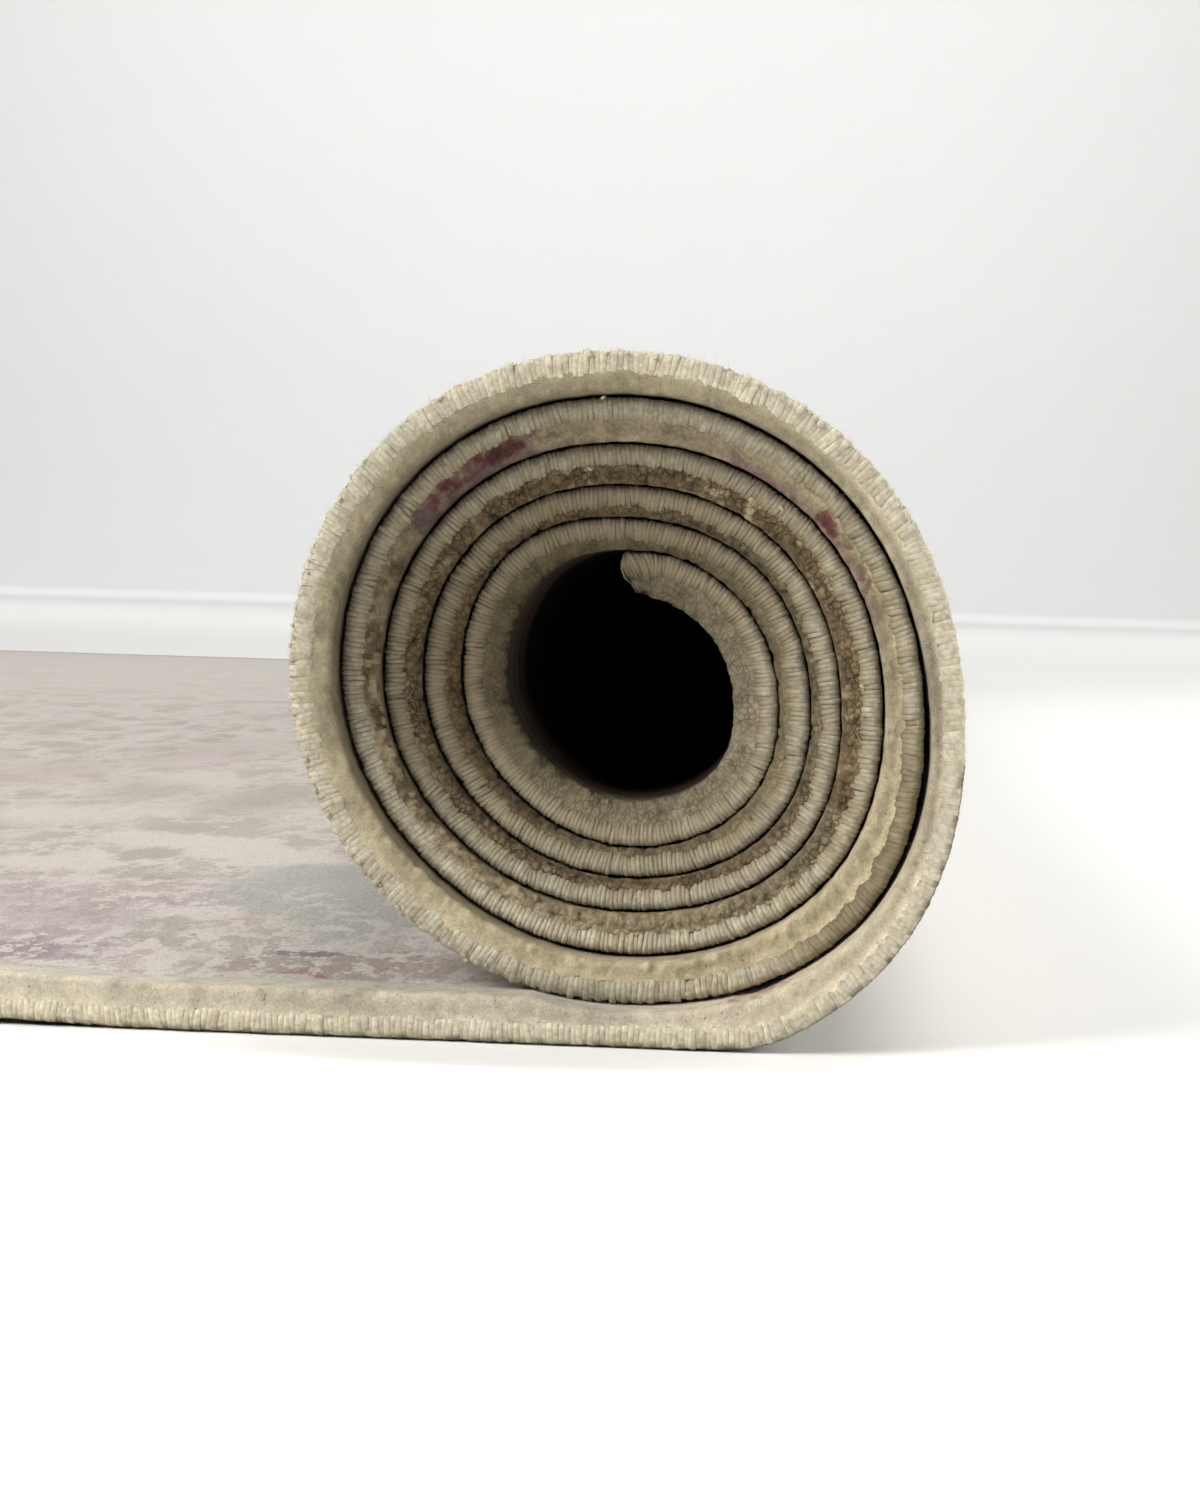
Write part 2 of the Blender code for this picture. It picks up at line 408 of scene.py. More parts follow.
def edge_colour(s, part, from_edge, chance):
    """Colour of the pile near the rug's edge, and how far it covers the rug's own colours.

    part is 0 at the yarn and 1 at the pile's top; a stain takes the places whose chance is below its share.
    """
    turns = turns_at(s)
    red = np.interp(turns, *zip(*PILE_TONES))
    wound, greens, blues = zip(*PILE_HUES)
    base = np.stack([red, red * np.interp(turns, wound, greens), red * np.interp(turns, wound, blues)], -1)
    rolled = ease(turns, -0.0015, 0.02)
    flat_cover = 1 - ease(from_edge / MM, *EDGE_FLAT_MM)
    roll_cover = 1 - ease(from_edge / MM, *EDGE_ROLL_MM)
    cover = flat_cover + (roll_cover - flat_cover) * rolled
    for turn, first, last, colour, share, low, high in STAINS:
        start = on_turn(turn, first)
        end = on_turn(turn, last)
        if end < start:
            end += 1
        inside = window(turns, start, end, STAIN_END_TURNS)
        across = window(part, low, high, STAIN_RIM)
        strength = ease(inside * across * share - chance, -0.20, 0.32) * ease(inside * across, 0, 0.2)
        base = base + (np.array(STAIN_COLOURS[colour]) - base) * np.minimum(strength, 0.9)[..., None]
        cover = np.maximum(cover, strength * 0.8)
    return join(base, cover[..., None], axis=-1)


# The rug's cloth

PILE_FOOT = 3.7 * MM
PILE_FACE_INSET = 1.1 * MM
# Turns wound, and then the insets there: on the outermost turn the pile's face is nearly flush with the yarn
FACE_INSETS_MM = ((0.0, 0.95, 1.15), (0.60, 0.60, 1.1))
NOSE_FACE_INSET = 2.4 * MM
# How far the pile's upper edge is rounded off, round the roll
CORNERS_MM = (
    (0.0, 1.0, 1.25, 2.4, 2.7, 2.95, 3.4, 3.7, 3.95, 5.51),
    (0.9, 0.9, 1.8, 1.9, 3.1, 2.0, 1.9, 3.3, 2.1, 2.2),
)
# At the edge the cloth lies a little lower than the tufts that are drawn over it
CLOTH_SINK = 0.5 * MM
# The inner end's pile is rounded off more, into a blunt nose
END_CORNER = 2.4 * MM
NOSE_CORNER = 4.4 * MM
NOSE_LENGTH = 13 * MM


def near_nose(s):
    """0 along the rug and 1 at its inner end."""
    return ease(s, RUG_LENGTH - NOSE_LENGTH, RUG_LENGTH - 2 * MM)


# The cloth's section, in from its edge: insets along the back, insets and heights round the lip under the
# yarn, and insets along the pile's top
BACK_INSETS_MM = (850, 700, 550, 400, 260, 160, 100, 60, 35, 20, 12, 8, 5.5, 3.6)
LIP_MM = ((2.9, 0.72), (1.35, 1.10), (0.66, 1.85), (0.62, 2.75), (1.2, 3.45))
FACE_STEPS = 6
CORNER_STEPS = 5
TOP_INSETS_MM = (5.4, 6.2, 8, 11, 15, 20, 27, 36, 50, 75, 110, 160, 260, 400, 550, 700)
STATION_STEP = 2.6 * MM
END_RINGS = 7
# A part of the pile's edge that no stain reaches, for the rear edge
PLAIN_PART = 9


def face_inset(s):
    plain = np.interp(turns_at(s), *FACE_INSETS_MM) * MM
    return plain + (NOSE_FACE_INSET - plain) * near_nose(s)


def pile_corner(s):
    return np.interp(turns_at(s), *CORNERS_MM) * MM


def face_profile(thick, part, foot_inset, corner):
    """Inset and height of the pile's front face: part runs from 0 at its foot to 1 at the pile's top."""
    straight = thick - corner - PILE_FOOT
    length = straight + corner * math.pi / 2
    travelled = part * length
    angle = np.clip((travelled - straight) / corner, 0, math.pi / 2)
    height = PILE_FOOT + np.minimum(travelled, straight) + corner * np.sin(angle)
    inset = foot_inset + corner * (1 - np.cos(angle))
    return inset, height, angle


def cloth_section(thick, foot_inset, corner):
    """Half of the cloth's section: insets and heights, from its back's middle round to its top."""
    one = np.ones_like(thick)
    back, lip, top = (np.array(values) for values in (BACK_INSETS_MM, LIP_MM, TOP_INSETS_MM))
    parts = np.linspace(0, 1, FACE_STEPS + CORNER_STEPS)
    face_insets, face_heights, _ = face_profile(thick - CLOTH_SINK, parts, foot_inset + CLOTH_SINK, corner)
    insets = join(back * MM * one, lip[:, 0] * MM * one, face_insets, top * MM * one, axis=1)
    back_heights = 0.55 * MM * (1 - ease(back, 6, 12)) * one
    top_heights = thick - CLOTH_SINK * (1 - ease(top, 8, 12.5))
    return insets, join(back_heights, lip[:, 1] * MM * one, face_heights, top_heights, axis=1)


def build_cloth(pile, back, yarn):
    first = TOP_INSETS_MM[0] * MM
    s = np.linspace(first, RUG_LENGTH - first, int((RUG_LENGTH - 2 * first) / STATION_STEP))
    # At both ends the pile's top comes down over the yarn as it does along the sides
    end_parts = np.linspace(0, 1, END_RINGS)
    low_thick, high_thick = PATH.read("thick", np.array((0.0, RUG_LENGTH)))
    low_insets, low_heights, _ = face_profile(low_thick, end_parts, PILE_FACE_INSET, END_CORNER)
    high_insets, high_heights, _ = face_profile(high_thick, end_parts, PILE_FACE_INSET, NOSE_CORNER)
    s = join(low_insets, s, RUG_LENGTH - high_insets[::-1])[:, None]
    count = len(s)
    thick = PATH.read("thick", s)
    rise = np.ones((count, 1))
    rise[:END_RINGS, 0] = (low_heights - PILE_FOOT) / (thick[:END_RINGS, 0] - PILE_FOOT)
    rise[-END_RINGS:, 0] = ((high_heights - PILE_FOOT) / (thick[-END_RINGS:, 0] - PILE_FOOT))[::-1]
    insets, heights = cloth_section(thick, face_inset(s), pile_corner(s))
    heights = np.where(heights > PILE_FOOT, PILE_FOOT + (heights - PILE_FOOT) * rise, heights)
    # The pile's middle line closes the top
    v = join(insets - HALF_WIDTH, 0 * s, (HALF_WIDTH - insets)[:, ::-1][:, :-1], axis=1)
    h = join(heights, heights[:, -1:], heights[:, ::-1][:, :-1], axis=1)
    s = s + 0 * v
    around = v.shape[1]
    column = np.arange(around)
    caps = [column[None, :], (len(s) - 1) * around + column[None, ::-1]]
    from_end = np.minimum(column, around - 1 - column)
    lip_end = len(BACK_INSETS_MM) + len(LIP_MM)
    kind = np.where(from_end < len(BACK_INSETS_MM) - 1, 1, np.where(from_end < lip_end, 2, 0))
    kind[-1] = 1
    part = np.clip((h - PILE_FOOT) / (thick - PILE_FOOT), 0, 1)
    from_side = HALF_WIDTH - np.abs(v)
    part = np.where(v > 0, PLAIN_PART, part + ease(from_side, 3 * MM, 12 * MM))
    from_edge = np.minimum(from_side, np.minimum(s, RUG_LENGTH - s))
    rug = np.stack([s, v, h], -1)
    return build_mesh(
        "rug_cloth", to_world(s, v, h), [grid_faces(count, around, True)] + caps, [pile, back, yarn],
        join(np.tile(kind, count - 1), (1, 1)), edge=edge_colour(s, part, from_edge, 0.4), rug=rug, yarn=rug,
        tip=np.full(v.shape, 0.9), grains=np.full(v.shape, 0.2), tone=turn_tone(s) * 0.62,
    )


# Overcast yarn

WRAP_PITCH = 1.06 * MM
WRAP_HALF_WIDTH = 0.58 * MM
# How the wraps on the outermost turn are flattened into each other and stand out of the back
WIDTHS = (1.28, 1.26, 1.12, 1.04, 1.04)
BULGE_TURNS = (0.0, 0.22, 0.40, 1.0, 1.08)
BULGES_MM = (0.0, 0.0, 0.55, 0.55, 0.0)
# The yarn's spacing against the pitch, from the outermost turn inwards
SPACING_TURNS = (0.0, 1.0, 1.6, 2.5, 5.5)
SPACINGS = (1.14, 1.12, 1.06, 0.97, 0.96)
# The wraps are rounder on the inner turns, where nothing has rubbed them, and painted shade darkens them
# between
DEPTH_TURNS = (0.0, 0.9, 1.2, 2.0, 5.5)
HALF_DEPTHS_MM = (0.21, 0.22, 0.30, 0.37, 0.37)
GROOVE_SHADE_TONES = (0.95, 0.92, 0.78, 0.70, 0.68)
# Painted light and shade along a wrap's length, from the rug's back to the pile
WRAP_SHARES = (0.0, 0.17, 0.33, 0.45, 0.58, 0.67, 0.83, 1.0)
OUTER_WRAP_SHADING = (0.85, 1.03, 1.03, 1.05, 1.07, 1.08, 1.14, 1.10)
INNER_WRAP_SHADING = (0.50, 0.62, 0.84, 0.99, 1.02, 0.86, 0.62, 0.42)
# Painted light: on the right of the roll each wrap is lightest nearer the rug's back
RIGHT_WRAP_SHADING = (1.10, 1.14, 1.16, 1.13, 1.06, 0.94, 0.70, 0.70)
# On the outermost turn the pile and the yarn lie almost flush
FLUSH_RISES_MM = ((0.0, 0.95, 1.15), (0.75, 0.75, 0.0))
CORNER_RADIUS = 3.2 * MM
# The yarn's middle line, from the rug's back round its edge and up to the pile: inset and height in mm,
# where it is drawn tight round the edge and where it hangs loose
TIGHT_LINE = ((4.6, 0.36), (1.5, 0.34), (0.62, 0.78), (0.34, 1.70), (0.42, 2.90), (0.98, 4.05), (2.20, 4.90))
LOOSE_LINE = ((4.6, 0.38), (1.9, 0.45), (0.92, 1.00), (0.44, 1.95), (0.42, 3.05), (0.98, 4.20), (2.20, 5.00))
# Which of those points a wrap has, and its section in degrees round it, most of it on the side that shows
FULL_WRAP = ((0, 1, 2, 3, 4, 5, 6), (6, 40, 75, 105, 140, 174, 270))
PLAIN_WRAP = ((0, 2, 4, 6), (14, 90, 166, 270))
# How loose it hangs round each turn, from the turn's bottom and counter-clockwise
LOOSENESS = (0.55, 0.45, 0.30, 0.35, 0.55, 0.80, 1.0, 0.85)
# How far up the pile the yarn reaches, against the line above: further on the stretch that lies on the floor
REACHES = ((0.0, 0.1, 0.25, 0.5, 5.5), (1.10, 1.08, 1.04, 1.02, 1.02))
NOSE_REACH = 0.20
# Painted shade: the yarn that lies on the floor is darkened up to this height, in mm, where it meets the
# floor, and how dark that makes it
FLOOR_SHADE_MM = 0.80
FLOOR_SHADE_TONE = 0.12
NOSE_LEAN = -2.4 * MM
FLOOR_GAP = 0.02 * MM


def edge_route(kind, pitch, keep=None):
    """Points along one edge, a pitch apart: where they lie on the rug and the direction out of it."""
    if kind in ("front", "rear"):
        side = -1 if kind == "front" else 1
        fine = np.linspace(CORNER_RADIUS, RUG_LENGTH - CORNER_RADIUS, 4000)
        paces = np.cumsum(1 / np.interp(turns_at(fine), SPACING_TURNS, SPACINGS))
        count = int((RUG_LENGTH - 2 * CORNER_RADIUS) / pitch)
        s = np.interp(np.linspace(paces[0], paces[-1], count), paces, fine)
        turned = max(int(CORNER_RADIUS * math.pi / 2 / pitch) + 1, 2)
        angles = np.linspace(0, math.pi / 2, turned + 2)[1:-1]
        angles = join(-angles[::-1], np.zeros(count), angles)
        out_s, out_v = np.sin(angles), np.cos(angles)
        corner = np.full(turned, CORNER_RADIUS)
        s = join(corner, s, RUG_LENGTH - corner) + CORNER_RADIUS * out_s
        route = s, side * (HALF_WIDTH - CORNER_RADIUS + CORNER_RADIUS * out_v), out_s, side * out_v
    else:
        count = int((RUG_WIDTH - 2 * CORNER_RADIUS) / pitch)
        v = np.linspace(-HALF_WIDTH + CORNER_RADIUS, HALF_WIDTH - CORNER_RADIUS, count)
        at, way = (0.0, -1.0) if kind == "outer" else (RUG_LENGTH, 1.0)
        route = np.full(count, at), v, np.full(count, way), np.zeros(count)
    return route if keep is None else tuple(values[keep(route[0])] for values in route)


# How light the yarn is, its own tone with painted light and shade round the roll: turns wound, and tone
YARN_TONES = (
    (0.00, 0.84), (0.12, 0.80), (0.55, 0.77), (0.64, 0.67), (0.80, 0.72),
    (1.00, 0.67), (1.06, 0.92), (1.11, 0.44), (1.20, 0.44), (1.25, 0.68), (1.36, 0.60), (1.44, 0.84),
    (1.68, 0.62), (1.76, 0.70), (1.81, 1.30), (1.88, 1.15),
    (2.00, 0.90), (2.20, 0.73), (2.31, 0.61), (2.58, 0.61), (2.68, 0.46), (2.80, 0.48), (2.88, 0.68),
    (3.18, 0.68), (3.31, 0.62), (3.43, 0.48), (3.70, 0.39), (3.81, 0.42), (3.88, 0.56),
    (4.26, 0.62), (4.37, 0.42), (4.80, 0.38), (4.88, 0.51), (5.29, 0.62), (5.39, 0.42),
)


def turn_tone(s):
    return np.interp(turns_at(s), *zip(*YARN_TONES))


def rightness(turns):
    """1 on the right of the roll and 0 elsewhere."""
    return ease(np.sin(2 * math.pi * turns), 0.2, 0.9) * (turns > 0)


def build_wraps(name, kind, form, yarn, keep=None):
    """The overcast yarn along one edge. Arrays run over the wraps, along each wrap, and round its section."""
    rng = np.random.default_rng(SEED + len(name) * 7 + ord(name[-1]))
    route = edge_route(kind, WRAP_PITCH, keep)
    count = len(route[0])
    each = (count, 1, 1)
    s, v, out_s, out_v = (values.reshape(each) for values in route)

    def vary(spread):
        return rng.normal(0, spread, each)

    along = np.cumsum(np.full(count, WRAP_PITCH)).reshape(each)
    group = Wave(rng, 5 * MM, 14 * MM, 7)(along)
    slow = Wave(rng, 14 * MM, 60 * MM, 7)(along)
    turns = turns_at(s)
    nose = near_nose(s)
    lean = (0.45 * group + 0.7 * slow + vary(0.09)) * 0.60 * MM + NOSE_LEAN * nose * np.abs(out_v)
    bend = (0.30 + 0.25 * slow + vary(0.06)) * MM
    reach = 1 + 0.05 * group + 0.04 * slow + vary(0.045)
    reach = reach * (np.interp(turns, *REACHES) + NOSE_REACH * nose)
    width = WRAP_HALF_WIDTH * np.interp(turns, SPACING_TURNS, WIDTHS) * rng.uniform(0.88, 1.12, each)
    depth = np.interp(turns, DEPTH_TURNS, HALF_DEPTHS_MM) * MM * rng.uniform(0.80, 1.22, each)
    shift = vary(0.02) * MM
    puff = (0.14 * group + vary(0.05)) * MM
    loose = np.interp(turns % 1, np.arange(9) / 8, LOOSENESS + LOOSENESS[:1])
    loose = np.clip(loose + 0.25 * group + vary(0.28), 0, 1.6)
    rings, angles = np.array(form[0]), np.radians(form[1])
    share = rings[:, None] / (len(TIGHT_LINE) - 1)
    tight, hanging = (np.array(line)[rings].T[:, :, None] * MM for line in (TIGHT_LINE, LOOSE_LINE))
    inset, height = (drawn + (hung - drawn) * loose for drawn, hung in zip(tight, hanging))
    inset = inset - puff * np.sin(share * math.pi)
    inset = inset - np.interp(turns, *FLUSH_RISES_MM) * MM * ease(share, 0.6, 1.0)
    height = height * (1 + (reach - 1) * ease(share, 0.2, 1.0))
    lumps = Wave(rng, 2.5 * MM, 7 * MM, 7)(along)
    bulge = np.interp(turns, BULGE_TURNS, BULGES_MM) * MM * (0.75 + 0.7 * lumps + 0.3 * group)
    height = height - bulge * (1 - ease(share, 0.25, 0.75))
    sideways = lean * (share - 0.4) * 2.2 + bend * (share - 0.5) ** 2 * 2 + shift
    swerve = vary(0.07) * MM
    sideways = sideways + swerve * np.sin(share * 2 * math.pi + rng.uniform(0, 2 * math.pi, each))
    # Directions in the plane of each wrap
    d_inset, d_height = np.gradient(inset, axis=1), np.gradient(height, axis=1)
    size = np.hypot(d_inset, d_height)
    taper = np.interp(share, (0, 0.12, 0.85, 1), (0.7, 1, 1, 0.62))
    deep = depth * taper * np.sin(angles)
    p_side = sideways + width * taper * np.cos(angles)
    p_inset = inset - d_height / size * deep
    p_height = height + d_inset / size * deep
    q_s = s - out_s * p_inset - out_v * p_side
    q_v = v - out_v * p_inset + out_s * p_side
    on_floor = turns < BULGE_TURNS[1]
    p_height = np.where(on_floor, np.maximum(p_height, FLOOR_GAP), p_height)
    tone = turn_tone(s) * (1 + 0.04 * group + vary(0.05)) * (1 - 0.14 * nose)
    # Painted shade in the grooves between wraps
    sunk = np.clip(1 - np.sin(angles) * 1.4, 0, 1)
    tone = tone * (1 + (np.interp(turns, DEPTH_TURNS, GROOVE_SHADE_TONES) - 1) * sunk)
    # Painted shade where the yarn meets the floor
    shaded_up_to = (FLOOR_SHADE_MM + 0.35 * group + vary(0.22)) * MM
    out_of_shade = ease(p_height, 0.35 * shaded_up_to, shaded_up_to + 0.25 * MM)
    tone = tone * np.where(on_floor, FLOOR_SHADE_TONE + (1 - FLOOR_SHADE_TONE) * out_of_shade, 1.0)
    place = vary(0.03) + share
    # Painted light and shade along each wrap: on the outermost turn, the inner ones and the roll's right
    all_tones = (OUTER_WRAP_SHADING, INNER_WRAP_SHADING, RIGHT_WRAP_SHADING)
    outer, inner, right = (np.interp(place, WRAP_SHARES, tones) for tones in all_tones)
    tone = tone * (outer + (inner - outer) * ease(turns, 0.9, 1.1)) * (1 + (right - 1) * rightness(turns))
    own = rng.uniform(0, 100, each)
    yarn_place = np.stack(np.broadcast_arrays(np.cos(angles) * 0.4 * MM, share * 9 * MM, own), -1)
    faces = strand_faces(count, len(share), len(angles), False)
    return build_mesh(name, to_world(q_s, q_v, p_height), faces, [yarn], tone=tone, yarn=yarn_place)


# The pile's edge

# Where the pile's edge is drawn finely: its face, and then this far in over its top
EDGE_TOP_MM = (4.1, 4.8, 5.7, 6.8, 8.2, 10.0, 12.5)
PILE_STAND = 0.22 * MM
FOOT_INSET = 2.2 * MM
FOOT_DROP = 0.5 * MM
TUFT_SIZE = 1.6 * MM
# How unevenly the tufts end along the pile's upper edge
RAGGED = 1.3 * MM
SEAM_LENGTH = 3.5 * MM
SEAM_OVERLAP = 0.6 * MM
# How finely an edge is drawn: the step along it, and the rows of points up its face
FINE = (0.55 * MM, 12)
MIDDLING = (1.0 * MM, 8)
COARSE = (1.3 * MM, 7)
# Where the front edge's yarn and its pile are split in two pieces, in turns wound
SPLIT_TURNS = (0.3, 1.0)
# Painted light: how much lighter the tufts are made at the yarn, round the roll, and on its right
FOOT_PAINTED_LIGHT = 0.30
FOOT_PAINTED_LIGHT_RIGHT = 0.95
# Painted shade: how much darker they are at the gap on the roll's left, inside the outermost turn
GAP_SHADE = 0.45
# How far the tufts stand out of the pile, from the outermost turn's bottom inwards
RELIEFS_MM = (
    (0.0, 0.15, 0.35, 1.0, 1.6, 2.05, 3.3, 3.9, 4.5, 5.2, 5.51),
    (0.07, 0.10, 0.20, 0.22, 0.24, 0.52, 0.50, 0.40, 0.25, 0.26, 0.30),
)
# How clearly single tufts show, with painted shade in the cracks between
GRAINS = (
    (0.0, 0.9, 1.3, 2.0, 2.15, 3.3, 3.9, 4.6, 5.1, 5.51),
    (0.03, 0.08, 0.25, 0.5, 1.0, 0.9, 0.55, 0.40, 0.65, 0.45),
)


def build_pile_edge(name, kind, pile, step, rows, keep=None):
    """The tufts at one edge: a fine relief from the yarn up the pile's face and in over its top."""
    rng = np.random.default_rng(SEED + 50 + len(name))
    base_s, base_v, out_s, out_v = (values[:, None] for values in edge_route(kind, step, keep))
    count = len(base_s)
    one = np.ones((count, 1))
    inside_s = np.clip(base_s, 0, RUG_LENGTH)
    thick = PATH.read("thick", inside_s)
    parts = np.linspace(0, 1, rows)
    inset, height, angle = face_profile(thick, parts, face_inset(base_s), pile_corner(inside_s))
    top = np.array(EDGE_TOP_MM) * MM * one
    inset = join(FOOT_INSET * one, inset, top, axis=1)
    height = join((PILE_FOOT - FOOT_DROP) * one, height, thick + 0 * top, axis=1)
    angle = join(0 * one, angle, 0 * top + math.pi / 2, axis=1)
    part = join([0], parts, np.ones(len(EDGE_TOP_MM))) * one
    paces = np.hypot(np.diff(inset, axis=1, prepend=FOOT_INSET), np.diff(height, axis=1, prepend=0))
    across = np.cumsum(paces, 1)
    across = across - across[:, :1]
    along = np.arange(count)[:, None] * step + 0 * inset

    def noise_of(size_mm, across=across):
        return strip_noise(rng, along, across, size_mm * MM)

    nearest, number = tuft_noise(rng, along, across, TUFT_SIZE)
    dome = 1 - np.minimum(nearest * 1.15, 1) ** 2
    patches = noise_of(4)
    felt = 0.40 * noise_of(3.1) + 0.35 * noise_of(1.4) + 0.25 * noise_of(0.75)
    turns = turns_at(base_s)
    relief = np.interp(turns, *RELIEFS_MM) * MM
    clumps = ease(relief, 0.2 * MM, 0.5 * MM)
    rise = relief * (clumps * (dome * (0.5 + number) - 0.35) + (1 - clumps) * (felt - 0.5) * 3)
    # Near the gap to the next turn, and where the relief ends, it settles back into the pile
    on_top = np.arange(inset.shape[1]) > rows
    fade = np.where(on_top, np.interp(inset, (3.5 * MM, 12.5 * MM), (0.7, 0.0)), 1.0)
    ragged = (noise_of(1.5) + 0.5 * noise_of(0.8) - 0.75) * RAGGED * ease(part, 0.3, 0.8)
    ragged = ragged * np.interp(turns, (0.1, 0.4, 0.9, 1.3), (0.15, 0.4, 0.5, 1.0))
    # Two stretches meet where both are plain
    from_seam = np.minimum(np.arange(count), np.arange(count)[::-1])[:, None] * step
    free = ease(from_seam, 0.5 * MM, SEAM_LENGTH)
    level = (PILE_STAND + (rise + ragged) * free) * fade
    level[:, 0] = 0
    level[:, -1] = -0.2 * MM
    # The lowest tufts hang over the ends of the yarn, unevenly
    hang = (noise_of(1.7, 0 * across) + 0.6 * noise_of(0.9, 0 * across) - 0.8) * 1.1 * MM * free
    height = height + hang * np.interp(part, (0, 0.3), (1.0, 0.0))
    p_inset = inset - np.cos(angle) * level
    p_height = np.minimum(height + np.sin(angle) * level, thick + 0.25 * MM * fade)
    sway = (noise_of(1.1) - 0.5) * 0.5 * MM * free
    q_s = base_s - out_s * p_inset - out_v * sway
    q_v = base_v - out_v * p_inset + out_s * sway
    stained_part = part if kind == "front" else np.full(part.shape, PLAIN_PART)
    chance = np.clip(0.15 + 0.45 * patches + 0.45 * (number - 0.3), 0, 1)
    edge = edge_colour(base_s + 0 * part, stained_part, inset * on_top, chance)
    # Painted light and shade: the tufts are lighter on their tops and where the felt rises, darker between
    # tufts and where it sinks; patches and each tuft's own number also vary their tone
    tufted = 0.8 * (dome - 0.62) + 0.45 * (number - 0.5)
    tip = 0.9 + (0.55 * (felt - 0.5) + 0.20 * (patches - 0.5) + clumps * tufted) * free
    right = rightness(turns) * (1 - ease(turns, 4.3, 4.8))
    # Painted light at the tufts' foot, by the yarn
    foot_painted_light = FOOT_PAINTED_LIGHT + (FOOT_PAINTED_LIGHT_RIGHT - FOOT_PAINTED_LIGHT) * right
    tip = tip * (1 + foot_painted_light * (1 - ease(part, 0.0, 0.6)))
    # Painted shade at the gap on the roll's left
    left = rightness(turns + 0.5) * ease(turns, 0.95, 1.2)
    tip = tip * (1 - GAP_SHADE * left * ease(part, 0.55, 1.0))
    smoother = 0.85 * ease(part, 0.35, 1.0) * (1 - ease(turns, 4.3, 4.7))
    grains = np.interp(turns, *GRAINS) * (1 - smoother) * (0.35 + 1.1 * noise_of(5)) * free
    quads = grid_faces(count, inset.shape[1])
    if kind in ("rear", "outer"):
        quads = quads[:, ::-1]
    rug = np.stack([q_s, q_v, p_height], -1)
    layers = {"tip": tip, "grains": grains, "edge": edge, "rug": rug}
    return build_mesh(name, to_world(q_s, q_v, p_height), [quads], [pile], **layers)


# Loose fibres and knots

FUZZ_COUNT = 7500
FUZZ_RADIUS = 0.036 * MM
# The share of the fibres that is set on the outermost turn, and where that stretch begins and ends
FUZZ_OUTER_SHARE = 0.5
FUZZ_TURNS = (0.3, 1.0)
KNOT_RINGS_DEGREES = (35, 80, 125)
KNOT_SIDES = 6
# Knots and pills of yarn on the outermost turn: how many, and the turns wound at the first and the last
KNOT_COUNT = 70
KNOT_TURNS = (0.30, 0.93)
# Two that stand further in: turns wound, angle round the yarn from the rug's back, size in mm and tone
PLACED_KNOTS = ((1.523, 0.25, 0.62, 1.35), (2.397, 1.45, 0.50, 1.0))


def beside_yarn(s, angle, out, aside):
    """Where points lie across the rug and above it, so far out of the yarn's outer side and so far aside.

    The angle runs from the rug's back round to its edge.
    """
    bulge = np.interp(turns_at(s), BULGE_TURNS, BULGES_MM)
    sine, cosine = np.sin(angle), np.cos(angle)
    inset = (2.0 - 2.05 * sine) * MM - sine * out - cosine * aside
    height = (2.35 - (1.9 + 0.7 * bulge) * cosine) * MM - cosine * out + sine * aside
    return inset - HALF_WIDTH, height


def build_fuzz(yarn):
    """Short loose fibres on the front edge's yarn, most of them on the outermost turn."""
    rng = np.random.default_rng(SEED + 90)
    each = (FUZZ_COUNT, 1)
    s = rng.uniform(0, RUG_LENGTH, each)
    outer = rng.uniform(0, 1, each) < FUZZ_OUTER_SHARE
    s = np.where(outer, rng.uniform(*PATH.at_turns(FUZZ_TURNS), each), s)
    angle = rng.uniform(-0.4, 1.9, each)
    length = rng.gamma(2.2, 0.27, each) * MM
    drift_s, drift_v = rng.normal(0, 0.8, (FUZZ_COUNT, 2)).T[:, :, None]
    # A fibre has two rings of three points and a tip
    share = np.array((0, 0, 0, 0.55, 0.55, 0.55, 1))
    radius = np.array((1, 1, 1, 0.8, 0.8, 0.8, 0)) * FUZZ_RADIUS
    turn = 2 * math.pi * np.arange(7) / 3
    reach = length * share
    p_s = s + drift_s * reach * (0.4 + share) + np.cos(turn) * radius
    v, h = beside_yarn(s, angle, reach, drift_v * reach * share * 0.5 + np.sin(turn) * radius)
    h = np.where(turns_at(s) < 0.06, np.maximum(h, 0.03 * MM), h)
    return build_mesh(
        "edge_fuzz", to_world(p_s, v, h), strand_faces(FUZZ_COUNT, 2, 3, True), [yarn],
        tone=turn_tone(s) * 1.05 + 0 * p_s, yarn=np.stack([0 * p_s, 0 * p_s, p_s], -1),
    )


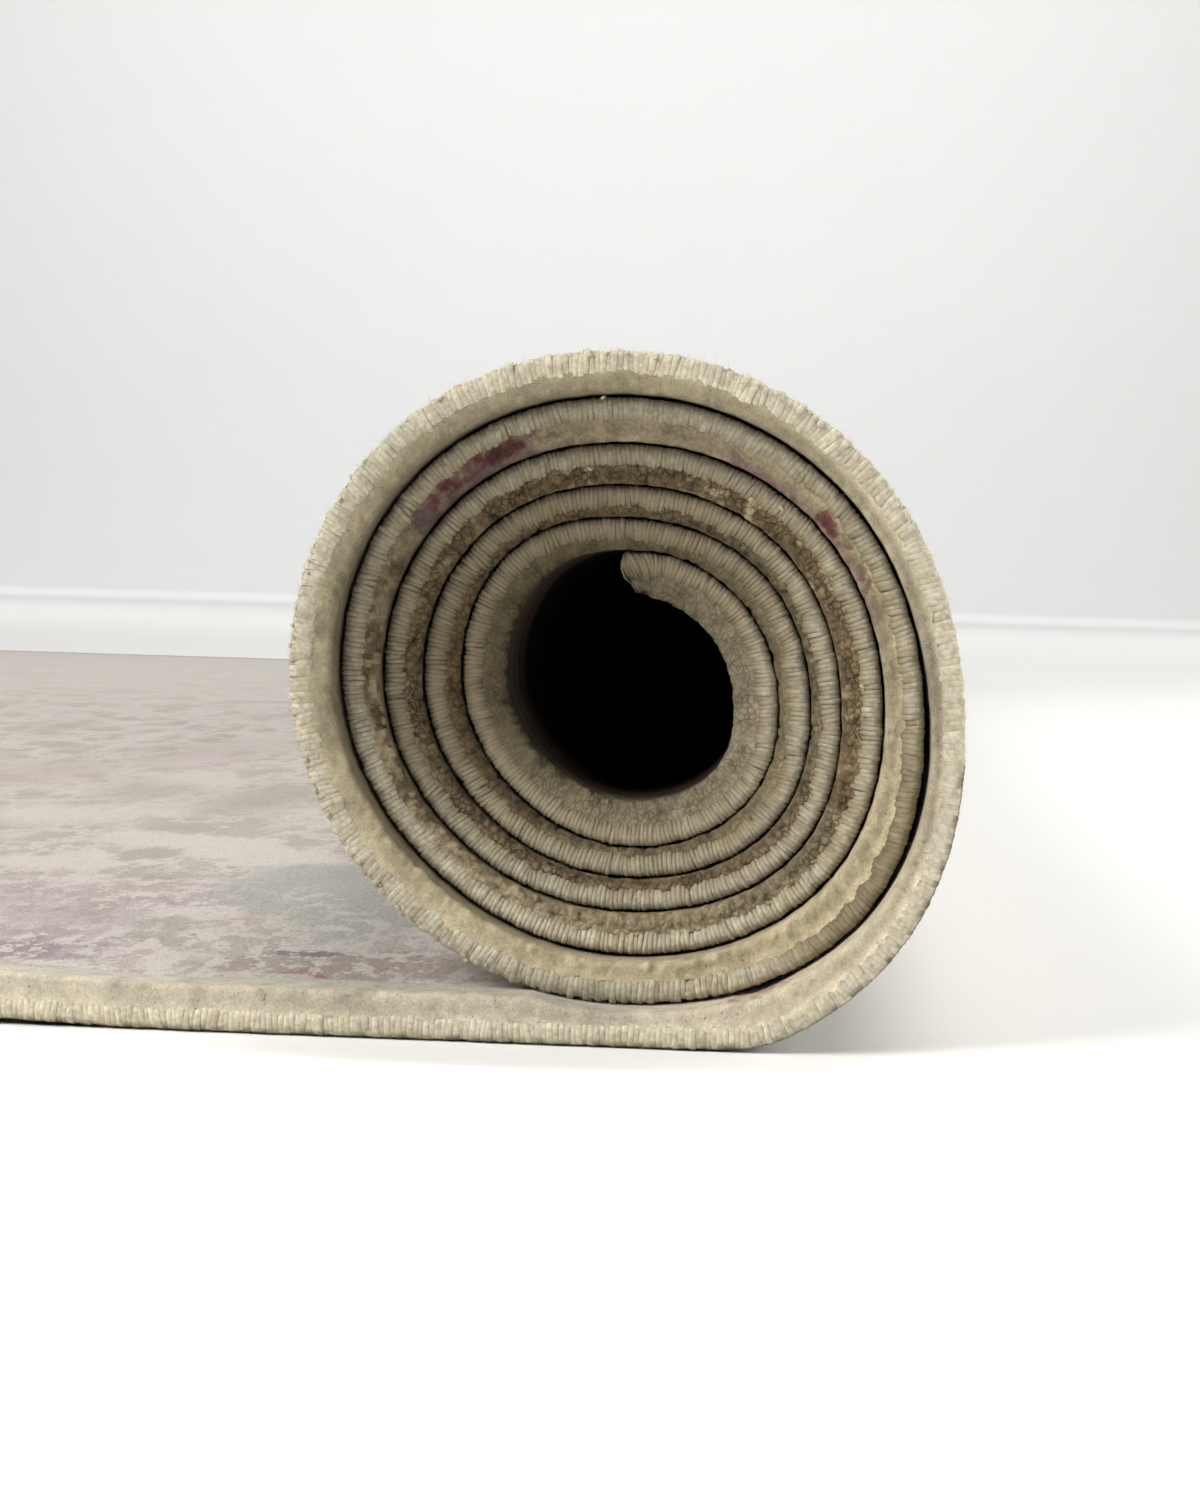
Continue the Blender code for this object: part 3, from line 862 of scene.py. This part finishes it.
def build_knots(yarn):
    """Small knots and pills that stand out of the outermost turn's yarn."""
    rng = np.random.default_rng(SEED + 91)
    each = (KNOT_COUNT, 1)
    s = rng.uniform(*PATH.at_turns(KNOT_TURNS), each)
    angle = rng.uniform(-0.15, 1.1, each)
    size = rng.gamma(5.0, 0.085, each) * MM
    tone = turn_tone(s)
    given = len(PLACED_KNOTS)
    turns, angle[:given], size_mm, tone[:given] = np.array(PLACED_KNOTS).T[:, :, None]
    s[:given] = PATH.at_turns(turns)
    size[:given] = size_mm * MM
    out = rng.uniform(-0.1, 0.5, each) * size
    rings = np.radians(KNOT_RINGS_DEGREES)[:, None]
    around = 2 * math.pi * np.arange(KNOT_SIDES) / KNOT_SIDES
    radius = size[:, :, None] * rng.uniform(0.75, 1.25, (KNOT_COUNT, len(rings), KNOT_SIDES))
    wide = np.cos(around) * np.sin(rings) * radius * rng.uniform(0.9, 1.6, (KNOT_COUNT, 1, 1))
    tall = np.sin(around) * np.sin(rings) * radius
    wide, tall, level = (
        join(values.reshape(KNOT_COUNT, -1), tip, axis=1)
        for values, tip in ((wide, 0 * size), (tall, 0 * size), (-np.cos(rings) * radius, size))
    )
    v, h = beside_yarn(s, angle, level + out, -tall)
    return build_mesh(
        "edge_knots", to_world(s + wide, v, h), strand_faces(*radius.shape, True), [yarn],
        tone=tone + 0 * h, yarn=np.stack([wide, h, s + 0 * h], -1),
    )


# Materials

class Signal:
    """One output of a material's node. Arithmetic on it adds a node and gives that node's output."""

    def __init__(self, socket):
        self.socket = socket

    def math(self, operation, *others):
        kind = "ShaderNodeMath" if self.socket.type == "VALUE" else "ShaderNodeVectorMath"
        return add_node(kind, dict(enumerate((self, *others))), operation=operation)

    def __add__(self, other):
        return self.math("ADD", other)

    def __sub__(self, other):
        return self.math("SUBTRACT", other)

    def __rsub__(self, other):
        return add_node("ShaderNodeMath", {0: other, 1: self}, operation="SUBTRACT")

    def __mul__(self, other):
        return self.math("MULTIPLY", other)

    def __abs__(self):
        return self.math("ABSOLUTE")

    def times_plus(self, factor, rest):
        return self.math("MULTIPLY_ADD", factor, rest)


def fill(socket, value):
    """Links a socket to a signal, or gives it a fixed value."""
    if isinstance(value, Signal):
        socket.id_data.links.new(value.socket, socket)
    elif isinstance(value, tuple):
        socket.default_value = value + (1.0,) * (len(socket.default_value) - len(value))
    else:
        socket.default_value = value


def add_node(kind, inputs, output=0, tree=None, **settings):
    """A new node's output. Its inputs, by number or name, are signals or fixed values."""
    tree = tree or next(value.socket.id_data for value in inputs.values() if isinstance(value, Signal))
    node = tree.nodes.new(kind)
    for key, value in settings.items():
        setattr(node, key, value)
    for key, value in inputs.items():
        fill(node.inputs[key], value)
    return Signal(node.outputs[output])


def new_material(name):
    material = bpy.data.materials.new(name)
    material.use_nodes = True
    return material


def from_mesh(material, name, output="Vector"):
    """The values that a mesh carries on its points under a name."""
    return add_node("ShaderNodeAttribute", {}, output, material.node_tree, attribute_name=name)


def noise(place, scale, detail=3.0, rough=0.55, output=0):
    inputs = {"Vector": place, "Scale": scale, "Detail": detail, "Roughness": rough}
    return add_node("ShaderNodeTexNoise", inputs, output)


def shifts(place, scale, detail):
    """Three noises at once, each about 0, for moving a place about."""
    return noise(place, scale, detail, 0.5, "Color") - (0.5, 0.5, 0.5)


def between(value, low, high):
    """0 below low, 1 above high, smooth between."""
    inputs = {"Value": value, "From Min": low, "From Max": high}
    return add_node("ShaderNodeMapRange", inputs, interpolation_type="SMOOTHSTEP")


def mix(share, low, high):
    return add_node("ShaderNodeMix", {0: share, 6: low, 7: high}, 2, data_type="RGBA")


def scaled(colour, factor):
    """A colour times a number."""
    return add_node("ShaderNodeVectorMath", {0: colour, 3: factor}, operation="SCALE")


def rug_place(rug):
    """The distance along the rug, the one across it, and how far its nearer side is."""
    s, v = (add_node("ShaderNodeSeparateXYZ", {0: rug}, axis) for axis in (0, 1))
    return s, v, HALF_WIDTH - abs(v)


def finish(material, colour, roughness, height=None, distance=0.0, sheen=0.0, strength=1.0):
    inputs = material.node_tree.nodes["Principled BSDF"].inputs
    fill(inputs["Base Color"], colour)
    inputs["Roughness"].default_value = roughness
    inputs["Specular IOR Level"].default_value = 0.04
    inputs["Sheen Weight"].default_value = sheen
    inputs["Sheen Roughness"].default_value = 0.6
    if height is not None:
        bump = add_node("ShaderNodeBump", {"Strength": strength, "Distance": distance, "Height": height})
        fill(inputs["Normal"], bump)
    return material


YARN_CREAM = (0.645, 0.60, 0.47)
YARN_SHADE = (0.51, 0.44, 0.31)
YARN_SOILED_AND_SHADED = (0.68, 0.555, 0.345)


def yarn_material():
    material = new_material("overcast_yarn")
    yarn = from_mesh(material, "yarn")
    tone = from_mesh(material, "tone", "Fac")
    fibre = noise(yarn * (1.0, 0.22, 1.0), 5200, 3.0, 0.6)
    colour = mix(between(noise(yarn, 620, 2.0), 0.35, 0.7), YARN_CREAM, YARN_SHADE)
    # Where the tone is low, from soiling and from painted shade, the yarn takes a warmer, darker colour
    colour = mix(between(tone, 0.70, 0.30) * 0.9, colour, YARN_SOILED_AND_SHADED)
    colour = scaled(colour, fibre.times_plus(0.7, 0.66) * tone)
    return finish(material, colour, 0.92, fibre, 0.12 * MM, sheen=0.10, strength=0.8)


PLAIN_BEIGE = (0.52, 0.49, 0.42)
FIELD_CREAM = (0.445, 0.425, 0.39)
FIELD_PINK = (0.47, 0.36, 0.325)
FIELD_COLOURS = {
    "white": (0.60, 0.555, 0.525),
    "pink": (0.475, 0.41, 0.39),
    "mauve": (0.35, 0.285, 0.29),
    "purple": (0.23, 0.17, 0.21),
    "green": (0.40, 0.39, 0.33),
    "olive": (0.38, 0.365, 0.29),
    "blue_grey": (0.405, 0.405, 0.372),
    "brown": (0.34, 0.28, 0.25),
    "red": (0.36, 0.15, 0.15),
}
# The faded patches nearest the front edge: along the rug from where the roll starts, in from the edge,
# half length, half depth (all in mm), colour and how strong
PATCHES_MM = (
    (-318, 790, 9, 60, "olive", 0.6),
    (-215, 650, 24, 85, "pink", 0.6),
    (-255, 520, 26, 70, "pink", 0.6),
    (-199, 450, 16, 50, "green", 0.7),
    (-154, 425, 18, 60, "green", 0.8),
    (-193, 508, 16, 37, "white", 0.7),
    (-205, 345, 24, 33, "white", 0.8),
    (-170, 210, 18, 24, "white", 0.9),
    (-161, 282, 17, 26, "white", 0.9),
    (-138, 266, 19, 28, "white", 0.9),
    (-113, 240, 16, 24, "white", 0.9),
    (-151, 241, 9, 16, "green", 0.9),
    (-138, 187, 10, 16, "green", 0.9),
    (-136, 105, 32, 70, "mauve", 0.50),
    (-134, 150, 20, 18, "pink", 0.6),
    (-130, 38, 18, 15, "purple", 0.5),
    (-94, 168, 24, 58, "blue_grey", 0.85),
    (-69, 118, 17, 44, "blue_grey", 0.85),
    (-110, 106, 9, 13, "white", 0.8),
    (-114, 82, 9, 16, "green", 0.95),
    (-60, 34, 34, 22, "brown", 0.7),
    (-71, 52, 9, 5, "purple", 0.8),
    (-66, 14, 8, 3, "red", 0.8),
    (-36, 16, 12, 3, "white", 0.6),
)
# How soft the patches' outlines are near the front edge and further in, against their size
NEAR_BLUR = 0.24
FAR_BLUR = 0.75
SOFT_FROM_MM = 300
# How far the patches' outlines wander, coarsely and finely, along and across the rug
WANDER = (0.022, 0.055, 0.0)
FINE_WANDER = (0.006, 0.016, 0.0)
# Painted light: the field is made paler further towards the rear edge
PAINTED_LIGHT_FROM_TO = (-0.15, 0.75)
PAINTED_LIGHT_SHARE = 0.9
PAINTED_LIGHT_FIELD = (0.73, 0.68, 0.635)
# The field is less faded towards the inner end, and past its dark border it is nearly black, which is partly
# painted shade deep in the core
DARK_FROM = 1.6
DARK_TO = 2.0
DARK_BROWN = (0.125, 0.085, 0.058)
DARK_STRIPE = (0.210, 0.115, 0.078)
DARK_FIELD_AND_CORE_SHADE = (0.012, 0.009, 0.008)
DARK_STRIPES_MM = ((24, 30), (36, 43))


def rug_colours(rug):
    """The rug's faded colours at rug coordinates: a plain outer strip, a thin pink line and a worn field,
    made paler towards the rear edge by painted light.
    """
    s, v, from_side = rug_place(rug)
    from_edge = from_side.math("MINIMUM", RUG_LENGTH / 2 - abs(s - RUG_LENGTH / 2))
    flat = rug * (1.0, 1.0, 0.0)
    past = from_edge - noise(flat, 22, 2.0).times_plus(14 * MM, 7 * MM)
    worn_way = flat * (1.0, 0.4, 1.0)
    fine = noise(worn_way, 420, 3.0, 0.7)
    near = between(from_side, 320 * MM, 120 * MM)
    crisp = between(from_side, 520 * MM, 160 * MM)
    low = crisp.times_plus(0.12, 0.38)
    high = crisp.times_plus(-0.11, 0.68)
    field = mix(between(noise(worn_way, 32, 4.0, 0.6), 0.40, 0.60), FIELD_CREAM, FIELD_COLOURS["pink"])
    for moved, scale, colour in ((worn_way, 45, "white"), (worn_way + (5.3, 2.1, 0.7), 40, "green")):
        field = mix(between(noise(moved, scale, 4.0, 0.6), low, high) * 0.75, field, FIELD_COLOURS[colour])
    ridge = abs(noise(worn_way, 30, 5.0, 0.68) - 0.5)
    veins = between(ridge, crisp.times_plus(-0.05, 0.09), 0.008)
    field = mix(veins * 0.75, field, FIELD_COLOURS["white"])
    bent = flat + shifts(worn_way, 60.0, 4.0) * WANDER + shifts(worn_way, 300.0, 3.0) * FINE_WANDER
    for along, deep, half_along, half_deep, colour, strength in PATCHES_MM:
        away = bent - (PATH.tail + along * MM, deep * MM - HALF_WIDTH, 0.0)
        away = away * (1 / (half_along * MM), 1 / (half_deep * MM), 0.0)
        length = add_node("ShaderNodeVectorMath", {0: away}, "Value", operation="LENGTH")
        blur = NEAR_BLUR if deep < SOFT_FROM_MM else FAR_BLUR
        field = mix(between(length, 1 + blur, 1 - blur) * strength, field, FIELD_COLOURS[colour])
    ticks = between(fine, 0.56, 0.64) * near
    field = mix(ticks * 0.30, field, FIELD_COLOURS["purple"])
    rubbed = between(noise(worn_way, 190, 4.0, 0.72), 0.50, 0.56)
    clusters = between(noise(worn_way, 26, 2.0), 0.40, 0.58)
    field = mix(rubbed * (clusters * near) * 0.85, field, FIELD_COLOURS["white"])
    # Painted light: paler towards the rear edge
    field = mix(between(v, *PAINTED_LIGHT_FROM_TO) * PAINTED_LIGHT_SHARE, field, PAINTED_LIGHT_FIELD)
    plain = mix(between(fine, 0.4, 0.7) * 0.25, PLAIN_BEIGE, FIELD_CREAM)
    colour = mix(between(past, -0.6 * MM, 1.2 * MM), plain, field)
    line = between(past, -1.6 * MM, 0.0) * between(past, 2.2 * MM, 0.6 * MM)
    line = line * between(noise(flat, 90, 2.0), 0.42, 0.60)
    colour = mix(line * 0.75, colour, FIELD_PINK)
    # Towards the inner end the rug keeps its dark border: brown, two paler stripes and then black, which is
    # partly painted shade deep in the core
    inset = noise(flat, 300, 2.0).times_plus(4 * MM, from_side)
    dark = mix(between(inset, 44 * MM, 54 * MM), DARK_BROWN, DARK_FIELD_AND_CORE_SHADE)
    for first, last in DARK_STRIPES_MM:
        rise = between(inset, (first - 2) * MM, (first + 2) * MM)
        fall = between(inset, (last + 2) * MM, (last - 2) * MM)
        dark = mix(rise * fall, dark, DARK_STRIPE)
    return mix(between(s, DARK_FROM, DARK_TO) * between(inset, 7 * MM, 19 * MM), colour, dark)


# The tufts as cells, per metre, and how far their edges wander
GRAIN_SCALE = 640.0
BEND = 1.1 * MM


def pile_material():
    material = new_material("pile")
    rug = from_mesh(material, "rug")
    tip, grains = (from_mesh(material, name, "Fac") for name in ("tip", "grains"))
    edge, cover = (from_mesh(material, "edge", output) for output in ("Color", "Alpha"))
    colour = mix(cover, rug_colours(rug), edge)
    grain = noise(rug, 1900, 4.0, 0.75)
    wool = noise(rug, 700, 4.0, 0.7)
    bent = rug + scaled(shifts(rug, 500.0, 2.0), BEND)
    inputs = {"Vector": bent, "Scale": GRAIN_SCALE}
    cells = add_node("ShaderNodeTexVoronoi", inputs, "Distance", feature="DISTANCE_TO_EDGE")
    # Painted shade in the cracks between tufts and in small pits
    crack_shade = grains * between(cells, 0.16, 0.0)
    pit_shade = between(noise(rug, 1100, 2.0), 0.34, 0.27)
    light = grain.times_plus(1.1, 0.40) * tip * crack_shade.times_plus(-0.6, 1.0) * pit_shade.times_plus(-0.45, 1.0)
    s, _, from_side = rug_place(rug)
    rolled = between(s, PATH.at_turns(0.2), PATH.at_turns(0.5))
    inmost = between(s, PATH.at_turns(4.3), PATH.at_turns(4.8))
    # Painted shade: inside the roll the pile's top is darker in from the edge, where it lies in the gap under
    # the next turn, and darker still on the inmost turns in the core
    crevice_shade = between(from_side, 2.4 * MM, 12 * MM) * (rolled * 0.40)
    core_shade = between(from_side, 4.0 * MM, 15 * MM) * (inmost * 0.30)
    light = light * (1.0 - crevice_shade) * (1.0 - core_shade)
    height = wool.times_plus(0.8, grain * 0.6)
    height = (grains * between(cells, 0.0, 0.4)).times_plus(1.2, height)
    return finish(material, scaled(colour, light), 0.95, height, 0.30 * MM, sheen=0.02, strength=0.8)


BACK_BEIGE = (0.50, 0.46, 0.37)


def back_material():
    material = new_material("woven_back")
    rug = from_mesh(material, "rug")
    colour = mix(0.55, rug_colours(rug), BACK_BEIGE)
    inputs = {"Vector": rug, "Scale": 170.0, "Distortion": 0.6}
    rows, columns = (add_node("ShaderNodeTexWave", inputs, "Fac", bands_direction=way) for way in "XY")
    knots = rows * columns
    grain = noise(rug, 1400, 3.0, 0.7)
    light = knots.times_plus(0.35, grain.times_plus(0.35, 0.62))
    return finish(material, scaled(colour, light), 0.95, knots + grain * 0.3, 0.5 * MM, sheen=0.2)


def plain_material(name, colour, roughness):
    material = new_material(name)
    place = add_node("ShaderNodeTexCoord", {}, "Object", material.node_tree)
    light = noise(place, 3.0, 2.0).times_plus(0.02, 0.99)
    return finish(material, scaled(colour, light), roughness)


# Stage, light and camera

FLOOR_SIZE = 12.0
WALL_AT = 5.0
COVE_RADIUS = 1.8
COVE_STEPS = 48
WALL_TOP = 4.0
PALE = (0.82, 0.82, 0.81)


def build_stage():
    """A pale floor that curves up into a pale wall behind."""
    outline = [(-FLOOR_SIZE / 2, 0.0)]
    for i in range(COVE_STEPS + 1):
        angle = math.pi / 2 * i / COVE_STEPS
        outline.append((WALL_AT + COVE_RADIUS * math.sin(angle), COVE_RADIUS * (1 - math.cos(angle))))
    outline.append((WALL_AT + COVE_RADIUS, WALL_TOP))
    points = [(x, y, z) for y, z in outline for x in (-FLOOR_SIZE / 2, FLOOR_SIZE / 2)]
    count = len(outline)
    index = np.arange(count - 1) * 2
    faces = np.stack([index, index + 1, index + 3, index + 2], -1)
    stage = build_mesh("floor_and_wall", points, [faces], [plain_material("pale_floor", PALE, 0.8)])


def place_thing(data, place, right, up, back):
    """Puts a light or a camera into the scene, its right, its top and its back facing the given ways."""
    thing = bpy.data.objects.new(data.name, data)
    bpy.context.scene.collection.objects.link(thing)
    turn = Matrix([[right[i], up[i], back[i]] for i in range(3)]).to_4x4()
    thing.matrix_world = Matrix.Translation(place) @ turn
    return thing


def area_light(name, place, target, size, spread, power, colour):
    data = bpy.data.lights.new(name, "AREA")
    data.shape = "RECTANGLE"
    data.size, data.size_y = size
    data.spread = math.radians(spread)
    data.energy = power
    data.color = colour
    back = np.array(place) - np.array(target)
    back = back / np.linalg.norm(back)
    right = np.cross((0, 0, 1), back)
    right = right / np.linalg.norm(right)
    place_thing(data, place, right, np.cross(back, right), back).visible_camera = False


WORLD_COLOUR = (1.0, 0.98, 0.94)
DAYLIGHT = (1.0, 0.99, 0.96)
WHITE = (1.0, 1.0, 1.0)
WORLD_STRENGTH = 0.06
# Each light's place, what it faces, its size across and along, how wide it spreads in degrees, its power in
# watts and its colour
LIGHTS = {
    "window_left": ((-1.92, -1.86, 1.68), (0, -0.8, 0.05), (1.8, 1.8), 120, 51, DAYLIGHT),
    "front_right": ((1.75, -2.1, 1.35), (0, -0.8, 0.05), (1.1, 1.1), 120, 5, DAYLIGHT),
    "lamp_right": ((0.76, -0.3, 2.4), (0.70, -0.3, 0), (0.14, 1.6), 180, 21, DAYLIGHT),
    "lamp_middle": ((0.50, -0.3, 2.4), (0.45, -0.3, 0), (0.14, 1.6), 180, 11, DAYLIGHT),
    "lamp_left": ((0.16, -0.3, 2.4), (0.12, -0.3, 0), (0.14, 1.6), 180, 9, DAYLIGHT),
    "side_right": ((2.4, 0.1, 0.9), (0, -0.4, 0.05), (1.6, 1.2), 120, 20.5, (1.0, 0.99, 0.97)),
    "far_floor": ((-0.4, 2.8, 1.5), (-0.4, 2.85, 0.0), (7.0, 2.2), 140, 49, WHITE),
    "wall": ((-0.6, 3.2, 1.9), (-0.6, 6.8, 1.6), (6.0, 0.8), 150, 110, WHITE),
}


def light_scene():
    world = bpy.data.worlds.new("soft_room")
    world.use_nodes = True
    background = world.node_tree.nodes["Background"]
    background.inputs["Color"].default_value = (*WORLD_COLOUR, 1)
    background.inputs["Strength"].default_value = WORLD_STRENGTH
    bpy.context.scene.world = world
    for name, settings in LIGHTS.items():
        area_light(name, *settings)
    bpy.context.scene.view_settings.view_transform = "Standard"


def place_camera():
    data = bpy.data.cameras.new("photo_camera")
    data.sensor_width = SENSOR_MM
    data.lens = FOCAL_PX * SENSOR_MM / IMAGE_HEIGHT_PX
    data.clip_start = 0.01
    yaw, pitch, roll = CAMERA_YAW, CAMERA_PITCH, CAMERA_ROLL
    ahead = np.array([-math.sin(yaw) * math.cos(pitch), math.cos(yaw) * math.cos(pitch), -math.sin(pitch)])
    level = np.array([math.cos(yaw), math.sin(yaw), 0.0])
    upright = np.cross(level, ahead)
    right = math.cos(roll) * level + math.sin(roll) * upright
    up = -math.sin(roll) * level + math.cos(roll) * upright
    bpy.context.scene.camera = place_thing(data, CAMERA_PLACE, right, up, -ahead)


# The whole

def main():
    pile, back, yarn = pile_material(), back_material(), yarn_material()
    cloth = build_cloth(pile, back, yarn)
    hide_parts("carpet")
    pieces = [cloth]
    split, second_turn = PATH.at_turns(SPLIT_TURNS)
    for name, kind, form, keep, node in (
        ("front_yarn_flat", "front", FULL_WRAP, lambda s: s < split, "side_binding_front"),
        ("front_yarn_roll", "front", FULL_WRAP, lambda s: s >= split, "side_binding_front"),
        ("rear_yarn", "rear", PLAIN_WRAP, None, "side_binding_rear"),
        ("outer_end_yarn", "outer", PLAIN_WRAP, None, "end_binding_outer"),
        ("inner_end_yarn", "inner", PLAIN_WRAP, None, "end_binding_inner"),
    ):
        piece = build_wraps(name, kind, form, yarn, keep)
        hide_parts(node)
        pieces.append(piece)
    for name, kind, fineness, keep in (
        ("front_pile_flat", "front", FINE, lambda s: s < second_turn + SEAM_OVERLAP),
        ("front_pile_roll", "front", FINE, lambda s: s >= second_turn),
        ("rear_pile", "rear", COARSE, None),
        ("outer_end_pile", "outer", COARSE, None),
        ("inner_end_pile", "inner", MIDDLING, None),
    ):
        piece = build_pile_edge(name, kind, pile, *fineness, keep)
        pieces.append(piece)
    for piece in (build_fuzz(yarn), build_knots(yarn)):
        pieces.append(piece)
    for piece in pieces:
        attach(piece, "root")
    build_stage()
    light_scene()
    place_camera()


main()
